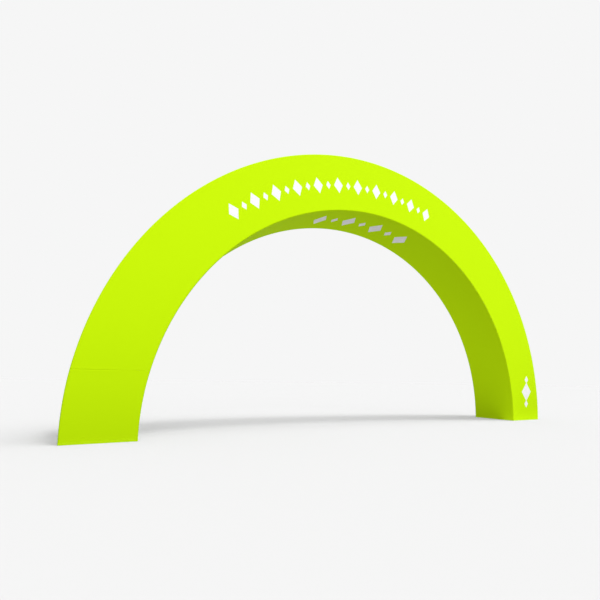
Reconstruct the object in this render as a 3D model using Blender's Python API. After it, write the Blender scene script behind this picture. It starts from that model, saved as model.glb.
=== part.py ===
"""Advertising arch: a half-round indoor gate, a sewn textile cover stretched over a plain tube frame.

Units are metres and +Z is up. The origin is on the floor, midway between the two feet. +X runs along the
arch, from the foot with the panel seam to the other one, and the front face looks towards -Y. Every long
piece is one cross-section carried round the arch's centre, then cut level at its ends.
"""

import math

import bmesh
import bpy
from mathutils import Vector

# The arch as it stands
outer_radius = 3.000
inner_radius = 2.430
arch_depth = 0.630
centre_drop = 0.070       # the circles' common centre lies this far below the floor
degrees_a_facet = 3.0

# Stretched cover cloth
cloth_thickness = 0.002
seam_gap = 0.0003         # two sewn pieces meet across this
seam_height = 0.580       # level seam across the front of the -X foot

# Tube frame under the cover
tube_sides = 8
tube_half_width = 0.016
tube_clearance = 0.0005   # cloth to tube
spacer_bar = 0.025
spacer_clearance = 0.0003
spacer_pitch_degrees = 18
spacer_count = 9

# Foot plates
plate_thickness = 0.006
plate_clearance = 0.004   # plate edge to cloth
tube_on_plate = 0.0003

front = -arch_depth / 2
back = arch_depth / 2
inner_wall = inner_radius + cloth_thickness
outer_wall = outer_radius - cloth_thickness
front_wall = front + cloth_thickness
back_wall = back - cloth_thickness

lime = (0.62, 0.93, 0.0, 1.0)
bright_aluminium = (0.78, 0.79, 0.80, 1.0)
grey_steel = (0.18, 0.19, 0.20, 1.0)


def clear_scene():
    """Starts from an empty scene."""
    for thing in list(bpy.data.objects):
        bpy.data.objects.remove(thing, do_unlink=True)


def make_material(name, colour, roughness, metallic):
    """One plain Principled material for one object."""
    material = bpy.data.materials.new(name)
    material.use_nodes = True
    shader = material.node_tree.nodes["Principled BSDF"]
    shader.inputs["Base Color"].default_value = colour
    shader.inputs["Roughness"].default_value = roughness
    shader.inputs["Metallic"].default_value = metallic
    return material


def cloth_material(name):
    return make_material(name + "_cloth", lime, 0.75, 0.0)


def tube_material(name):
    return make_material(name + "_metal", bright_aluminium, 0.35, 1.0)


def plate_material(name):
    return make_material(name + "_steel", grey_steel, 0.5, 0.8)


def arch_point(radius, across, degrees):
    """A point at an angle round the arch, counted from the +X foot."""
    turn = math.radians(degrees)
    return Vector((radius * math.cos(turn), across, radius * math.sin(turn) - centre_drop))


def rectangle(low_radius, high_radius, low_across, high_across):
    """A four-cornered cross-section, as (radius, across) pairs."""
    return [
        (low_radius, low_across),
        (high_radius, low_across),
        (high_radius, high_across),
        (low_radius, high_across),
    ]


def tube_section(radius, across):
    """An eight-sided tube section with flat sides towards the cloth on both faces."""
    corner = tube_half_width / math.cos(math.pi / tube_sides)
    section = []
    for side in range(tube_sides):
        turn = 2 * math.pi * (side + 0.5) / tube_sides
        section.append((radius + corner * math.cos(turn), across + corner * math.sin(turn)))
    return section


def carry_round(section, first_degree=0.0, last_degree=180.0):
    """Carries a cross-section round the arch and closes both ends."""
    mesh = bmesh.new()
    steps = round((last_degree - first_degree) / degrees_a_facet)
    rings = []
    for step in range(steps + 1):
        degrees = first_degree + step * degrees_a_facet
        rings.append([mesh.verts.new(arch_point(radius, across, degrees)) for radius, across in section])
    count = len(section)
    for ring, following in zip(rings, rings[1:]):
        for corner in range(count):
            beside = (corner + 1) % count
            mesh.faces.new((ring[corner], ring[beside], following[beside], following[corner]))
    mesh.faces.new(rings[0])
    mesh.faces.new(rings[-1])
    return mesh


def cut_level(mesh, height, keep_above=True, only_minus_x=False):
    """Cuts a mesh at a height and closes the cut, on one leg only if asked."""
    faces = [face for face in mesh.faces if face.calc_center_median().x < 0 or not only_minus_x]
    edges = {edge for face in faces for edge in face.edges}
    points = {point for face in faces for point in face.verts}
    cut = bmesh.ops.bisect_plane(
        mesh,
        geom=list(points) + list(edges) + faces,
        plane_co=(0.0, 0.0, height),
        plane_no=(0.0, 0.0, 1.0),
        clear_outer=not keep_above,
        clear_inner=keep_above,
    )
    rim = [part for part in cut["geom_cut"] if isinstance(part, bmesh.types.BMEdge)]
    bmesh.ops.holes_fill(mesh, edges=rim, sides=0)


def add_object(name, mesh, material):
    """Turns a bmesh into a named object with outward faces and smooth round sides."""
    bmesh.ops.recalc_face_normals(mesh, faces=mesh.faces[:])
    data = bpy.data.meshes.new(name)
    mesh.to_mesh(data)
    mesh.free()
    data.materials.append(material)
    data.shade_smooth()
    data.set_sharp_from_angle(angle=math.radians(30))
    thing = bpy.data.objects.new(name, data)
    bpy.context.scene.collection.objects.link(thing)
    return thing


def build_front_panel():
    """Front face of the cover: one half-ring, to the floor at +X and to the level seam at -X."""
    mesh = carry_round(rectangle(inner_radius, outer_radius, front, front_wall))
    cut_level(mesh, 0.0)
    cut_level(mesh, seam_height + seam_gap, only_minus_x=True)
    add_object("front_panel", mesh, cloth_material("front_panel"))


def build_front_foot_panel():
    """The short piece of the front face under the level seam, at the -X foot."""
    section = rectangle(inner_radius, outer_radius, front, front_wall)
    mesh = carry_round(section, 180.0 - 6 * degrees_a_facet, 180.0)
    cut_level(mesh, 0.0)
    cut_level(mesh, seam_height, keep_above=False)
    add_object("front_foot_panel", mesh, cloth_material("front_foot_panel"))


def build_back_panel():
    """Back face of the cover: one half-ring, plain."""
    mesh = carry_round(rectangle(inner_radius, outer_radius, back_wall, back))
    cut_level(mesh, 0.0)
    add_object("back_panel", mesh, cloth_material("back_panel"))


def build_band(name, low_radius, high_radius):
    """A long strip of the cover, sewn between the front and back panels."""
    section = rectangle(low_radius, high_radius, front_wall + seam_gap, back_wall - seam_gap)
    mesh = carry_round(section)
    cut_level(mesh, 0.0)
    add_object(name, mesh, cloth_material(name))


def build_hoop(name, radius, across):
    """One bent tube of the frame, standing on both foot plates."""
    mesh = carry_round(tube_section(radius, across))
    cut_level(mesh, plate_thickness + tube_on_plate)
    add_object(name, mesh, tube_material(name))


def build_spacer(number, low_radius, high_radius, low_across, high_across):
    """A rectangular bar frame that ties the four hoops together, square to the arch."""
    mesh = bmesh.new()
    outline = rectangle(low_radius, high_radius, low_across, high_across)
    opening = rectangle(
        low_radius + spacer_bar,
        high_radius - spacer_bar,
        low_across + spacer_bar,
        high_across - spacer_bar,
    )
    turn = math.radians(number * spacer_pitch_degrees)
    along = Vector((-math.sin(turn), 0.0, math.cos(turn)))
    sides = []
    for offset in (-spacer_bar / 2, spacer_bar / 2):
        for section in (outline, opening):
            corners = [arch_point(radius, across, math.degrees(turn)) for radius, across in section]
            sides.append([mesh.verts.new(corner + along * offset) for corner in corners])
    near_outline, near_opening, far_outline, far_opening = sides
    loops = (near_outline, near_opening, far_opening, far_outline)
    for loop, following in zip(loops, loops[1:] + loops[:1]):
        for corner in range(4):
            beside = (corner + 1) % 4
            mesh.faces.new((loop[corner], loop[beside], following[beside], following[corner]))
    name = "spacer_frame_" + str(number)
    add_object(name, mesh, tube_material(name))


def build_foot_plate(name, side):
    """A flat steel plate inside the cover, under the four tube ends of one foot."""
    floor_turn = math.asin(centre_drop / outer_wall)
    inner_edge = inner_wall + plate_clearance
    outer_edge = outer_wall * math.cos(floor_turn) - plate_clearance
    near = front_wall + plate_clearance
    far = back_wall - plate_clearance
    mesh = bmesh.new()
    bmesh.ops.create_cube(mesh, size=1.0)
    for point in mesh.verts:
        point.co.x = side * (inner_edge if point.co.x < 0 else outer_edge)
        point.co.y = near if point.co.y < 0 else far
        point.co.z = 0.0 if point.co.z < 0 else plate_thickness
    add_object(name, mesh, plate_material(name))


def build_frame():
    """Four hoops just inside the cover's corners, the spacers between them and the foot plates."""
    inner_hoop = inner_wall + tube_clearance + tube_half_width
    outer_hoop = outer_wall - tube_clearance - tube_half_width
    front_hoop = front_wall + tube_clearance + tube_half_width
    back_hoop = back_wall - tube_clearance - tube_half_width
    build_hoop("front_outer_hoop", outer_hoop, front_hoop)
    build_hoop("front_inner_hoop", inner_hoop, front_hoop)
    build_hoop("back_outer_hoop", outer_hoop, back_hoop)
    build_hoop("back_inner_hoop", inner_hoop, back_hoop)
    near = front_hoop + tube_half_width + spacer_clearance
    far = back_hoop - tube_half_width - spacer_clearance
    for number in range(1, spacer_count + 1):
        build_spacer(number, inner_hoop, outer_hoop, near, far)
    build_foot_plate("foot_plate_minus_x", -1)
    build_foot_plate("foot_plate_plus_x", 1)


clear_scene()
build_front_panel()
build_front_foot_panel()
build_back_panel()
build_band("outer_band", outer_wall, outer_radius)
build_band("soffit_band", inner_radius, inner_wall)
build_frame()
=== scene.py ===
"""Looks of the advertising arch: a stretched lime textile cover over a plain tube frame. Metres, +Z up."""

import math

import bpy
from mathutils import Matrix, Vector


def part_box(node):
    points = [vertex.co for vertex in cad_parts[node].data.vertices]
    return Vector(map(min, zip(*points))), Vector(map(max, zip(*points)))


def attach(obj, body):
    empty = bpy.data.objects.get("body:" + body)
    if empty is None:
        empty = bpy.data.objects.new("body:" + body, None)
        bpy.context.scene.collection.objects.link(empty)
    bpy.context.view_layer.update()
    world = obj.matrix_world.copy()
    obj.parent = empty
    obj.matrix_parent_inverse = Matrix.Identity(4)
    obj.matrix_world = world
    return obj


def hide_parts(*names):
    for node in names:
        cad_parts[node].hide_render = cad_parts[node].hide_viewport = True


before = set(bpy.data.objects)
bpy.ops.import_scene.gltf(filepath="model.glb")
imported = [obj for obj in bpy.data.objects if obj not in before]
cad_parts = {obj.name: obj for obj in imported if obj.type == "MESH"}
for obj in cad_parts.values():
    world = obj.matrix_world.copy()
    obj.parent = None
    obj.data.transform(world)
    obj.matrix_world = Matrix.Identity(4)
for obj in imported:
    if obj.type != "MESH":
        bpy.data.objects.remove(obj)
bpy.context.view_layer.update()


# Viewer
# The camera stands low in front of the left foot, nearly level and turned towards the right foot. The shifts
# put the arch where the photograph has it in its square frame.
camera_place = (-2.947, -4.060, 0.518)
camera_tilt = math.radians(90.74)
camera_roll = math.radians(-0.78)
camera_turn = math.radians(-29.67)
camera_data = bpy.data.cameras.new("viewer")
camera_data.sensor_width = 36.0
camera_data.lens = 25.64
camera_data.shift_x = -0.0167
camera_data.shift_y = 0.1250
camera_data.clip_end = 300.0
camera = bpy.data.objects.new("viewer", camera_data)
camera.location = camera_place
camera.rotation_euler = (camera_tilt, camera_roll, camera_turn)
bpy.context.scene.collection.objects.link(camera)
bpy.context.scene.camera = camera


# Studio
# A plain pale floor that runs out into an equally pale backdrop. A key lamp with a soft halo stands high on
# the right in front of the arch, with a side lamp lower on the right, a broad front lamp and even light from
# all round. Dark cards by the feet, which the camera doesn't see, take some of the light near the floor.
backdrop_grey = 0.922
floor_grey = 0.641
card_grey = 0.02
fill_strength = 0.64
key_towards = (-0.30, 0.37, -1.0)
side_towards = (-0.75, 0.25, -1.0)
front_towards = (0.1, 1.0, -0.2)
bpy.context.scene.view_settings.view_transform = "Standard"


def new_finish(name):
    """A new material, with its node tree and its shader."""
    material = bpy.data.materials.new(name)
    material.use_nodes = True
    return material, material.node_tree, material.node_tree.nodes["Principled BSDF"]


def matt_paint(name, grey):
    """Grey paint without any gloss."""
    material, tree, shader = new_finish(name)
    shader.inputs["Base Color"].default_value = (grey, grey, grey, 1.0)
    shader.inputs["Roughness"].default_value = 1.0
    shader.inputs["Specular IOR Level"].default_value = 0.0
    return material


def flat_cards(name, rectangles, height):
    """Level rectangles at one height, each given as low x, high x, low y and high y."""
    corners = []
    faces = []
    for low_x, high_x, low_y, high_y in rectangles:
        first = len(corners)
        for x, y in ((low_x, low_y), (high_x, low_y), (high_x, high_y), (low_x, high_y)):
            corners.append((x, y, height))
        faces.append((first, first + 1, first + 2, first + 3))
    data = bpy.data.meshes.new(name)
    data.from_pydata(corners, [], faces)
    cards = bpy.data.objects.new(name, data)
    bpy.context.scene.collection.objects.link(cards)
    return cards


floor_half = 120.0
floor_rectangles = ((-floor_half, floor_half, -floor_half, floor_half),)
floor = flat_cards("studio_floor", floor_rectangles, height=0.0)
floor.visible_diffuse = False
floor.data.materials.append(matt_paint("matt_floor_paint", floor_grey))

# One dark card in front of each foot, and one inside the right foot
dark_rectangles = (
    (-5.00, 1.40, -1.75, -0.33),
    (2.43, 3.60, -2.20, -0.45),
    (1.85, 2.42, -0.15, 0.80),
)
dark_card = flat_cards("dark_card", dark_rectangles, height=-0.01)
dark_card.visible_camera = False
dark_card.visible_glossy = False
dark_card.visible_shadow = False
dark_card.data.materials.append(matt_paint("black_card", card_grey))

# The camera sees the backdrop's grey, and everything else gets the even fill light
world = bpy.data.worlds.new("studio")
world.use_nodes = True
bpy.context.scene.world = world
world_nodes = world.node_tree.nodes
world_links = world.node_tree.links
seen = world_nodes["Background"]
seen.inputs["Color"].default_value = (backdrop_grey, backdrop_grey, backdrop_grey, 1.0)
fill = world_nodes.new("ShaderNodeBackground")
fill.inputs["Color"].default_value = (1.0, 1.0, 1.0, 1.0)
fill.inputs["Strength"].default_value = fill_strength
ray_kind = world_nodes.new("ShaderNodeLightPath")
seen_or_fill = world_nodes.new("ShaderNodeMixShader")
world_links.new(ray_kind.outputs["Is Camera Ray"], seen_or_fill.inputs["Fac"])
world_links.new(fill.outputs["Background"], seen_or_fill.inputs[1])
world_links.new(seen.outputs["Background"], seen_or_fill.inputs[2])
world_links.new(seen_or_fill.outputs["Shader"], world_nodes["World Output"].inputs["Surface"])


def add_lamp(name, towards, strength, spread_degrees):
    """A soft far lamp that shines in one direction."""
    lamp_data = bpy.data.lights.new(name, "SUN")
    lamp_data.energy = strength
    lamp_data.angle = math.radians(spread_degrees)
    lamp = bpy.data.objects.new(name, lamp_data)
    lamp.rotation_euler = Vector(towards).to_track_quat("-Z", "Y").to_euler()
    bpy.context.scene.collection.objects.link(lamp)


add_lamp("key_lamp", key_towards, strength=0.60, spread_degrees=10)
add_lamp("key_lamp_halo", key_towards, strength=0.80, spread_degrees=30)
add_lamp("side_lamp", side_towards, strength=0.70, spread_degrees=36)
add_lamp("top_light", key_towards, strength=0.55, spread_degrees=110)
add_lamp("front_lamp", front_towards, strength=0.86, spread_degrees=60)


# Front panel
# The printed face of the cover: one half-ring of stretch polyester, hemmed at the floor and sewn to the foot
# panel at the level seam. Both curved edges turn into the corner seams, where the bands are sewn on.
outer_radius = 3.000
inner_radius = 2.430
centre_drop = 0.070
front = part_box("front_panel")[0].y
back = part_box("back_panel")[1].y
seam_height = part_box("front_foot_panel")[1].z
corner_radius = 0.009
groove_depth = 0.0015
groove_width = 0.0016
half_slit = 0.0002
cloth_thickness = 0.0008
rows_along = 340
columns_across = 12

# Steps from a seam onto the cloth, and from a hem or the level seam along it, with how proud the cloth lies
seam_steps = (0.0, 0.0005, 0.001, 0.0015, 0.0021, 0.003, 0.0042, 0.0056, 0.0071)
hem_depth = 0.022
hem_proud = 0.0006
hem_rows = (
    (0.0, -0.0006),
    (0.0002, -0.0001),
    (0.0009, 0.0004),
    (0.004, hem_proud),
    (hem_depth - 0.003, hem_proud),
    (hem_depth - 0.001, 0.0003),
    (hem_depth, -0.0003),
    (hem_depth + 0.001, 0.0002),
    (hem_depth + 0.005, 0.0),
)
level_seam_rows = (
    (0.0, -0.0011),
    (0.0003, -0.0007),
    (0.0008, -0.0003),
    (0.0016, -0.0001),
    (0.0040, 0.0002),
    (0.0090, 0.0002),
    (0.0140, 0.0),
)

# The share of the level seam's relief that the inner half of the foot keeps, and where across it this ends
pressed_share = 0.25
seam_fade_from = 2.62
seam_fade_width = 0.20

# The box section's corners in order, as (radius, across): each side of the cover runs from one to the next
section_corners = (
    Vector((inner_radius, front)),
    Vector((outer_radius, front)),
    Vector((outer_radius, back)),
    Vector((inner_radius, back)),
)
section_faces = (Vector((0, -1)), Vector((1, 0)), Vector((0, 1)), Vector((-1, 0)))


def level_turn(radius, height, side):
    """The angle round the arch at which a circle passes a height, on the +X leg or the -X leg."""
    turn = math.asin((height + centre_drop) / radius)
    return turn if side > 0 else math.pi - turn


def arch_place(radius, across, turn):
    """The place at a radius and an angle round the arch's centre."""
    return Vector((radius * math.cos(turn), across, radius * math.sin(turn) - centre_drop))


def cloth_profile(number, waist):
    """One side of the cover's section, as (place, outward, distance from the nearest corner seam)."""
    start = section_corners[number]
    end = section_corners[(number + 1) % 4]
    face = section_faces[number]
    roundings = []
    for corner, away in ((start, (start - end).normalized()), (end, (end - start).normalized())):
        middle = corner - corner_radius * (away + face)
        rounding = []
        for step in seam_steps:
            turn = math.radians(45) + (step + half_slit) / corner_radius
            outward = away * math.cos(turn) + face * math.sin(turn)
            sunk = groove_depth * math.exp(-((step / groove_width) ** 2))
            rounding.append((middle + outward * (corner_radius - sunk), outward, step))
        roundings.append(rounding)
    near, far = roundings
    flat_start = start + (end - start).normalized() * corner_radius
    flat_end = end + (start - end).normalized() * corner_radius
    flat = []
    for column in range(columns_across + 1):
        share = (1 - math.cos(math.pi * (column + 0.5) / (columns_across + 1))) / 2
        sag = waist * math.sin(math.pi * share)
        place = flat_start.lerp(flat_end, share) - face * sag
        flat.append((place, face, min(share, 1 - share) * (end - start).length))
    return near + flat + far[::-1]


def hem_lift(proud, profile):
    """A hem lies as proud at every point across the cloth."""
    return [proud] * len(profile)


def level_seam_lift(proud, profile):
    """The level seam shows plainly on the foot's outer half and is pressed nearly flat on the inner half."""
    lifts = []
    for place, outward, distance in profile:
        share = min(1.0, max(0.0, (place.x - seam_fade_from) / seam_fade_width))
        lifts.append(proud * (pressed_share + (1 - pressed_share) * share))
    return lifts


def cloth_rows(profile, left_edge, left_level, left_lift):
    """Angles and lifts for every profile point, row by row from the hem at +X to the left edge at -X."""
    radii = [place.x for place, outward, distance in profile]
    rows = []
    for step, proud in hem_rows:
        rows.append(([level_turn(radius, step, 1) for radius in radii], hem_lift(proud, profile)))
    first = rows[-1][0]
    ending = []
    for step, proud in left_edge:
        turns = [level_turn(radius, left_level + step, -1) for radius in radii]
        ending.append((turns, left_lift(proud, profile)))
    last = ending[-1][0]
    for row in range(1, rows_along):
        share = row / rows_along
        rows.append(([a + (b - a) * share for a, b in zip(first, last)], hem_lift(0.0, profile)))
    return rows + ending[::-1]


def make_cloth(name, profile, rows, flat_weave):
    """A sheet of cloth through the rows, with a map in metres and each point's distance from a seam."""
    places = []
    cloth_map = []
    distances = []
    for turns, lifts in rows:
        run = 0.0
        for column, (place, outward, distance) in enumerate(profile):
            at = place + outward * lifts[column]
            spot = arch_place(at.x, at.y, turns[column])
            places.append(spot)
            if column:
                run += (place - profile[column - 1][0]).length
            cloth_map.append((spot.x, spot.z) if flat_weave else (turns[column] * outer_radius, run))
            distances.append(distance)
    width = len(profile)
    faces = []
    for row in range(len(rows) - 1):
        for column in range(width - 1):
            corner = row * width + column
            faces.append((corner, corner + 1, corner + width + 1, corner + width))
    data = bpy.data.meshes.new(name)
    data.from_pydata(places, [], faces)
    weave_map = data.uv_layers.new(name="weave")
    for loop in data.loops:
        weave_map.data[loop.index].uv = cloth_map[loop.vertex_index]
    from_seam = data.attributes.new("from_seam", "FLOAT", "POINT")
    from_seam.data.foreach_set("value", distances)
    data.shade_smooth()
    piece = bpy.data.objects.new(name, data)
    bpy.context.scene.collection.objects.link(piece)
    piece.visible_diffuse = False
    doubled = piece.modifiers.new("cloth_thickness", "SOLIDIFY")
    doubled.thickness = cloth_thickness
    doubled.offset = -1.0
    return piece


def add_math(tree, operation, first, second=0.0):
    """A maths node on sockets or plain numbers, and its result."""
    maths = tree.nodes.new("ShaderNodeMath")
    maths.operation = operation
    for socket, value in zip(maths.inputs, (first, second)):
        if isinstance(value, (int, float)):
            socket.default_value = value
        else:
            tree.links.new(value, socket)
    return maths.outputs["Value"]


def times(tree, first, second):
    """The product of two sockets or numbers."""
    return add_math(tree, "MULTIPLY", first, second)


def plus(tree, first, second):
    """The sum of two sockets or numbers."""
    return add_math(tree, "ADD", first, second)


def minus(tree, first, second):
    """The difference of two sockets or numbers."""
    return add_math(tree, "SUBTRACT", first, second)


def add_mix(tree, share, first, second):
    """A colour mix on sockets or plain colours, and its result."""
    mix = tree.nodes.new("ShaderNodeMix")
    mix.data_type = "RGBA"
    for socket, value in ((mix.inputs[0], share), (mix.inputs[6], first), (mix.inputs[7], second)):
        if isinstance(value, (int, float, tuple)):
            socket.default_value = value
        else:
            tree.links.new(value, socket)
    return mix.outputs[2]


def add_noise(tree, where, scale, detail=2.0):
    """Cloudy unevenness, with scale clouds to the metre."""
    noise = tree.nodes.new("ShaderNodeTexNoise")
    noise.inputs["Scale"].default_value = scale
    noise.inputs["Detail"].default_value = detail
    tree.links.new(where, noise.inputs["Vector"])
    return noise.outputs["Fac"]


def add_relief(tree, shader, height, strength, depth):
    """Fine relief on a finish, from a height socket."""
    bump = tree.nodes.new("ShaderNodeBump")
    bump.inputs["Strength"].default_value = strength
    bump.inputs["Distance"].default_value = depth
    tree.links.new(height, bump.inputs["Height"])
    tree.links.new(bump.outputs["Normal"], shader.inputs["Normal"])


def object_place(tree):
    """A socket with the place on the object, in metres."""
    return tree.nodes.new("ShaderNodeTexCoord").outputs["Object"]


def arch_sockets(tree):
    """Sockets with the place on the arch: x, y, z, radius and angle."""
    split = tree.nodes.new("ShaderNodeSeparateXYZ")
    tree.links.new(object_place(tree), split.inputs["Vector"])
    x, y, z = split.outputs
    rise = plus(tree, z, centre_drop)
    squares = plus(tree, times(tree, x, x), times(tree, rise, rise))
    return x, y, z, add_math(tree, "SQRT", squares), add_math(tree, "ARCTAN2", rise, x)


# The cloth's colours, and the sizes of its knitted loops, slubs and clouds, with how fast the seam puckers
# and the painted shade along the corner seams fade
lime = (0.60, 0.92, 0.002, 1.0)
lime_deep = (0.55, 0.86, 0.002, 1.0)
lime_seam_shade = (0.40, 0.62, 0.002, 1.0)
print_white = (0.93, 0.93, 0.93, 1.0)
wale_pitch = 0.0011
course_pitch = 0.8 * wale_pitch
slubs_per_metre = 900.0
clouds_per_metre = 1.4
pucker_fall = 110.0
pucker_rate = 520.0
pucker_shifts_per_metre = 60.0
seam_shade_fall = 900.0
seam_shade_depth = 0.8

# What loops, slubs, clouds and puckers add to the cloth's tone, its relief and its roughness
loop_tone = 0.12
slub_tone = 0.3
cloud_tone = 0.4
loop_relief = 0.25
slub_relief = 0.2
pucker_relief = 1.6
cloth_roughness = 0.84
slub_roughness = 0.1
cloth_gloss = 0.04


def lime_cloth(name, marks=None):
    """Knitted stretch polyester, dyed through, with its loops, seam puckers, painted shade along the corner
    seams and a little unevenness.
    """
    material, tree, shader = new_finish(name)
    weave = tree.nodes.new("ShaderNodeUVMap")
    weave.uv_map = "weave"
    weave_place = tree.nodes.new("ShaderNodeSeparateXYZ")
    tree.links.new(weave.outputs["UV"], weave_place.inputs["Vector"])
    along = weave_place.outputs["X"]
    across = weave_place.outputs["Y"]
    place = object_place(tree)
    seam = tree.nodes.new("ShaderNodeAttribute")
    seam.attribute_name = "from_seam"
    from_seam = seam.outputs["Fac"]

    wales = add_math(tree, "SINE", times(tree, along, 2 * math.pi / wale_pitch))
    courses = add_math(tree, "SINE", times(tree, across, 2 * math.pi / course_pitch))
    loops = times(tree, wales, courses)
    slubs = add_noise(tree, place, slubs_per_metre)
    clouds = add_noise(tree, place, clouds_per_metre, detail=3.0)
    pucker_fade = add_math(tree, "EXPONENT", times(tree, from_seam, -pucker_fall))
    pucker_wave = add_math(tree, "SINE", times(tree, plus(tree, along, across), pucker_rate))
    pucker_shift = add_noise(tree, place, pucker_shifts_per_metre)
    pucker = times(tree, times(tree, pucker_fade, pucker_wave), pucker_shift)

    tone = plus(tree, times(tree, loops, loop_tone), times(tree, slubs, slub_tone))
    tone = plus(tree, tone, times(tree, clouds, cloud_tone))
    colour = add_mix(tree, tone, lime, lime_deep)
    if marks:
        colour = add_mix(tree, marks(tree), colour, print_white)
    # Painted shade: the colour is darkened close to the corner seams, where shade would fall in their
    # grooves
    seam_shade = add_math(tree, "EXPONENT", times(tree, from_seam, -seam_shade_fall))
    colour = add_mix(tree, times(tree, seam_shade, seam_shade_depth), colour, lime_seam_shade)
    tree.links.new(colour, shader.inputs["Base Color"])

    relief = plus(tree, times(tree, loops, loop_relief), times(tree, slubs, slub_relief))
    relief = plus(tree, relief, times(tree, pucker, pucker_relief))
    add_relief(tree, shader, relief, strength=0.5, depth=0.0003)
    rough = plus(tree, times(tree, slubs, slub_roughness), cloth_roughness)
    tree.links.new(rough, shader.inputs["Roughness"])
    shader.inputs["Specular IOR Level"].default_value = cloth_gloss
    return material


# Printed marks: plain white lozenges in rows, large and small by turns. A size is half the width and half
# the height.
crown_marks_from = math.radians(72.5)
crown_marks_to = math.radians(129.0)
crown_marks_radius = 2.690
crown_marks_count = 21
crown_mark_size = (0.055, 0.080)
foot_marks_x = 2.715
foot_marks_z = 0.40
foot_mark_size = (0.10, 0.13)
foot_mark_rises = (0.0, 0.17, -0.17)
foot_mark_shares = (1.0, 0.4, 0.4)


def lozenge(tree, sideways, upright, half_width, half_height):
    """1 inside a lozenge and 0 outside it."""
    wide = add_math(tree, "DIVIDE", add_math(tree, "ABSOLUTE", sideways), half_width)
    tall = add_math(tree, "DIVIDE", add_math(tree, "ABSOLUTE", upright), half_height)
    return add_math(tree, "LESS_THAN", plus(tree, wide, tall), 1.0)


def lozenge_row(tree, angle, upright, radius, from_angle, to_angle, count, mark_size):
    """A curved row of lozenges between two angles; every second one is half the size."""
    pitch = (to_angle - from_angle) / count
    run = add_math(tree, "DIVIDE", minus(tree, angle, from_angle), pitch)
    cell = add_math(tree, "FLOOR", run)
    within = minus(tree, minus(tree, run, cell), 0.5)
    sideways = times(tree, within, pitch * radius)
    odd = add_math(tree, "MODULO", cell, 2.0)
    size = minus(tree, 1.0, times(tree, odd, 0.5))
    wide_place = add_math(tree, "DIVIDE", sideways, size)
    tall_place = add_math(tree, "DIVIDE", upright, size)
    shape = lozenge(tree, wide_place, tall_place, *mark_size)
    after = add_math(tree, "GREATER_THAN", angle, from_angle)
    before = add_math(tree, "LESS_THAN", angle, to_angle)
    return times(tree, shape, times(tree, after, before))


def front_marks(tree):
    """The row round the crown, and three lozenges one above the other on the +X foot."""
    x, y, z, radius, angle = arch_sockets(tree)
    upright = minus(tree, radius, crown_marks_radius)
    shape = lozenge_row(
        tree,
        angle,
        upright,
        crown_marks_radius,
        crown_marks_from,
        crown_marks_to,
        crown_marks_count,
        crown_mark_size,
    )
    sideways = minus(tree, x, foot_marks_x)
    half_width, half_height = foot_mark_size
    for rise, share in zip(foot_mark_rises, foot_mark_shares):
        level = minus(tree, z, foot_marks_z + rise)
        mark = lozenge(tree, sideways, level, half_width * share, half_height * share)
        shape = add_math(tree, "MAXIMUM", shape, mark)
    return shape


front_profile = cloth_profile(0, waist=0.0)
front_rows = cloth_rows(front_profile, level_seam_rows, seam_height, level_seam_lift)
front_cloth = make_cloth("front_panel_cloth", front_profile, front_rows, flat_weave=True)
front_cloth.data.materials.append(lime_cloth("front_panel_cloth", front_marks))
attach(front_cloth, "root")
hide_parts("front_panel")
front_hoops = ["front_outer_hoop", "front_inner_hoop"]


# Front foot panel
# The short piece of the same cloth at the -X foot. It is sewn to the front panel edge to edge and pressed
# flat, which leaves the fine level line that shows across the foot.
seam_gap = 0.0003
foot_rows_between = 24
foot_profile = cloth_profile(0, waist=0.0)
foot_radii = [place.x for place, outward, distance in foot_profile]
foot_top = seam_height - seam_gap
foot_rows = []
for step, proud in level_seam_rows:
    turns = [level_turn(radius, foot_top - step, -1) for radius in foot_radii]
    foot_rows.append((turns, level_seam_lift(proud, foot_profile)))
plain_top = foot_top - level_seam_rows[-1][0]
plain_low = hem_rows[-1][0]
for row in range(1, foot_rows_between):
    height = plain_top + (plain_low - plain_top) * row / foot_rows_between
    turns = [level_turn(radius, height, -1) for radius in foot_radii]
    foot_rows.append((turns, hem_lift(0.0, foot_profile)))
for step, proud in hem_rows[::-1]:
    turns = [level_turn(radius, step, -1) for radius in foot_radii]
    foot_rows.append((turns, hem_lift(proud, foot_profile)))
foot_cloth = make_cloth("front_foot_panel_cloth", foot_profile, foot_rows, flat_weave=True)
foot_cloth.data.materials.append(lime_cloth("front_foot_panel_cloth"))
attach(foot_cloth, "root")
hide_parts("front_foot_panel")


# Back panel
# The same half-ring of stretch polyester as the front one, but unprinted and in one piece from floor to
# floor. It is sewn to both bands and hemmed at both feet.
back_profile = cloth_profile(2, waist=0.0)
back_rows = cloth_rows(back_profile, hem_rows, 0.0, hem_lift)
back_cloth = make_cloth("back_panel_cloth", back_profile, back_rows, flat_weave=True)
back_cloth.data.materials.append(lime_cloth("back_panel_cloth"))
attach(back_cloth, "root")
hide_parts("back_panel")
back_hoops = ["back_outer_hoop", "back_inner_hoop"]


# Outer band
# One long strip of the same cloth over the top, from floor to floor. It is sewn to both panels and drawn a
# little inwards between the two outer hoops.
band_waist = 0.002
outer_profile = cloth_profile(1, band_waist)
outer_rows = cloth_rows(outer_profile, hem_rows, 0.0, hem_lift)
outer_cloth = make_cloth("outer_band_cloth", outer_profile, outer_rows, flat_weave=False)
outer_cloth.data.materials.append(lime_cloth("outer_band_cloth"))
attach(outer_cloth, "root")
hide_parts("outer_band")


# Soffit band
# The long strip of the same cloth under the arch, sewn and drawn in like the outer one. It is printed with a
# row of the same lozenges across the crown.
soffit_marks_from = math.radians(73)
soffit_marks_to = math.radians(105)
soffit_marks_count = 7
soffit_mark_size = (0.08, 0.14)


def soffit_marks(tree):
    """The row of lozenges under the crown."""
    x, y, z, radius, angle = arch_sockets(tree)
    return lozenge_row(
        tree,
        angle,
        y,
        inner_radius,
        soffit_marks_from,
        soffit_marks_to,
        soffit_marks_count,
        soffit_mark_size,
    )


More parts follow.
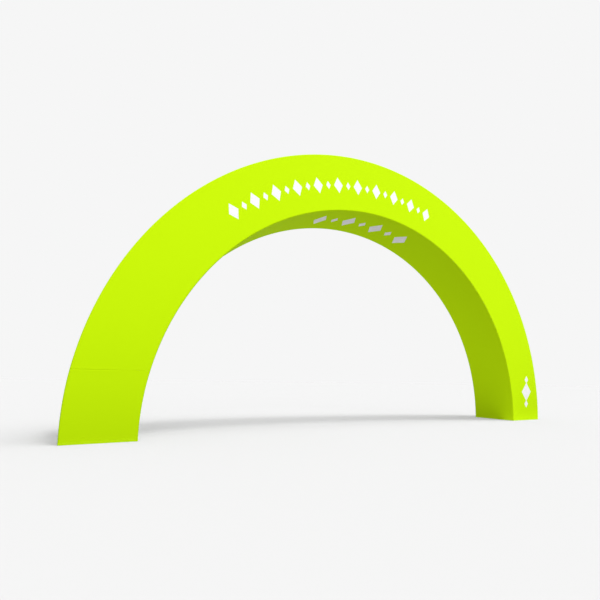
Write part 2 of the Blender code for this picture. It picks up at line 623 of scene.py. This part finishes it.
soffit_profile = cloth_profile(3, band_waist)
soffit_rows = cloth_rows(soffit_profile, hem_rows, 0.0, hem_lift)
soffit_cloth = make_cloth("soffit_band_cloth", soffit_profile, soffit_rows, flat_weave=False)
soffit_cloth.data.materials.append(lime_cloth("soffit_band_cloth", soffit_marks))
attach(soffit_cloth, "root")
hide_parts("soffit_band")


# Hem thread
# Two close lines of polyester thread, dyed to match, that hold the turned-up hems round both feet. Each
# stitch shows by itself and lies partly sunk in the cloth.
stitch_pitch = 0.0042
stitch_length = 0.0034
stitch_half_width = 0.00025
stitch_proud = 0.00022
stitch_sunk = 0.0001
hem_lines = (0.0150, 0.0182)
stitch_sides = (
    (0, 1, 3, 2),
    (4, 6, 7, 5),
    (0, 4, 5, 1),
    (2, 3, 7, 6),
    (0, 2, 6, 4),
    (1, 5, 7, 3),
)
thread_dark = (0.50, 0.80, 0.01, 1.0)
thread_light = (0.66, 0.97, 0.03, 1.0)
thread_twists_per_metre = 1500.0
thread_roughness = 0.55


def stitch_end(number, run, line, side):
    """The four corners of a stitch's end, run along one side of the section and line above the floor."""
    start = section_corners[number]
    end = section_corners[(number + 1) % 4]
    width = (end - start).length
    waist = band_waist if number % 2 else 0.0
    flat = start.lerp(end, (corner_radius + run) / width)
    share = run / (width - 2 * corner_radius)
    raised = hem_proud - waist * math.sin(math.pi * share)
    corners = []
    for proud in (raised - stitch_sunk, raised + stitch_proud):
        at = flat + section_faces[number] * proud
        spot = arch_place(at.x, at.y, level_turn(at.x, line, side))
        for rise in (-stitch_half_width, stitch_half_width):
            corners.append(spot + Vector((0, 0, rise)))
    return corners


stitch_places = []
stitch_faces = []
for side in (1, -1):
    for number in range(4):
        width = (section_corners[(number + 1) % 4] - section_corners[number]).length
        count = int((width - 2 * corner_radius) / stitch_pitch)
        for line in hem_lines:
            for stitch in range(count):
                first = len(stitch_places)
                stitch_start = stitch * stitch_pitch
                stitch_places.extend(stitch_end(number, stitch_start, line, side))
                stitch_places.extend(stitch_end(number, stitch_start + stitch_length, line, side))
                for corners in stitch_sides:
                    stitch_faces.append([first + corner for corner in corners])
thread_data = bpy.data.meshes.new("hem_thread")
thread_data.from_pydata(stitch_places, [], stitch_faces)
hem_thread = bpy.data.objects.new("hem_thread", thread_data)
bpy.context.scene.collection.objects.link(hem_thread)
hem_thread.visible_diffuse = False

thread_material, thread_tree, thread_shader = new_finish("hem_thread")
thread_twist = add_noise(thread_tree, object_place(thread_tree), thread_twists_per_metre)
thread_colour = add_mix(thread_tree, thread_twist, thread_dark, thread_light)
thread_tree.links.new(thread_colour, thread_shader.inputs["Base Color"])
add_relief(thread_tree, thread_shader, thread_twist, strength=1.0, depth=0.0001)
thread_shader.inputs["Roughness"].default_value = thread_roughness
thread_data.materials.append(thread_material)
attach(hem_thread, "root")


# Hoops
# Four bent aluminium tubes in mill finish, just inside the cover's corners, with fine drawing lines along
# them and dull handling marks. The cover hides them.
mill_dull = (0.70, 0.71, 0.72, 1.0)
mill_bright = (0.83, 0.84, 0.85, 1.0)
mill_roughness = 0.20
streak_roughness = 0.18
handled_roughness = 0.16
handled_per_metre = 14.0

# How many streaks lie in a metre round the arch, across its depth and along its radius
drawn_streaks = (2.0, 700.0, 700.0)
cloudy_streaks = (160.0, 700.0, 9.0)


def aluminium(name, streaks_per_metre):
    """Bare aluminium, with its streaks drawn out along the tube or lying cloudy and short."""
    material, tree, shader = new_finish(name)
    x, y, z, radius, angle = arch_sockets(tree)
    round_arch, over_depth, along_radius = streaks_per_metre
    streak_place = tree.nodes.new("ShaderNodeCombineXYZ")
    tree.links.new(times(tree, angle, round_arch * inner_radius), streak_place.inputs["X"])
    tree.links.new(times(tree, y, over_depth), streak_place.inputs["Y"])
    tree.links.new(times(tree, radius, along_radius), streak_place.inputs["Z"])
    streaks = add_noise(tree, streak_place.outputs["Vector"], scale=1.0, detail=3.0)
    handled = add_noise(tree, object_place(tree), handled_per_metre, detail=4.0)
    tree.links.new(add_mix(tree, handled, mill_dull, mill_bright), shader.inputs["Base Color"])
    rough = plus(tree, times(tree, streaks, streak_roughness), mill_roughness)
    rough = plus(tree, rough, times(tree, handled, handled_roughness))
    tree.links.new(rough, shader.inputs["Roughness"])
    shader.inputs["Metallic"].default_value = 1.0
    add_relief(tree, shader, streaks, strength=0.4, depth=0.0001)
    return material


def dress(node, material):
    """Gives a CAD node its own finished material."""
    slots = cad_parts[node].data.materials
    slots.clear()
    slots.append(material)


for hoop in front_hoops + back_hoops:
    dress(hoop, aluminium(hoop, drawn_streaks))


# Spacer frames
# Nine rectangular frames of the same aluminium in bar, square to the arch. They keep the four hoops apart,
# and the cover hides them too.
spacer_count = 9
for number in range(1, spacer_count + 1):
    spacer = "spacer_frame_" + str(number)
    dress(spacer, aluminium(spacer, cloudy_streaks))


# Foot plates
# A steel plate in each foot, under the ends of the hoops. It has a grey powder coat with a fine orange-peel
# skin, rubbed bare in places.
coat_dark = (0.15, 0.16, 0.17, 1.0)
coat_light = (0.21, 0.22, 0.23, 1.0)
bare_steel = (0.46, 0.45, 0.44, 1.0)
peel_per_metre = 420.0
rubs_per_metre = 23.0
rubbed_above = 0.68
steel_metallic = 0.9
coat_roughness = 0.42
peel_roughness = 0.15
coat_step = 0.6


def powder_coat(name):
    """Grey powder coat on steel. It is missing where it is rubbed off."""
    material, tree, shader = new_finish(name)
    place = object_place(tree)
    peel = add_noise(tree, place, peel_per_metre)
    rubs = add_noise(tree, place, rubs_per_metre, detail=6.0)
    bare = add_math(tree, "GREATER_THAN", rubs, rubbed_above)
    coat = add_mix(tree, peel, coat_dark, coat_light)
    tree.links.new(add_mix(tree, bare, coat, bare_steel), shader.inputs["Base Color"])
    tree.links.new(times(tree, bare, steel_metallic), shader.inputs["Metallic"])
    rough = plus(tree, times(tree, peel, peel_roughness), coat_roughness)
    tree.links.new(rough, shader.inputs["Roughness"])
    relief = minus(tree, peel, times(tree, bare, coat_step))
    add_relief(tree, shader, relief, strength=0.5, depth=0.0002)
    return material


for plate in ("foot_plate_minus_x", "foot_plate_plus_x"):
    dress(plate, powder_coat(plate))
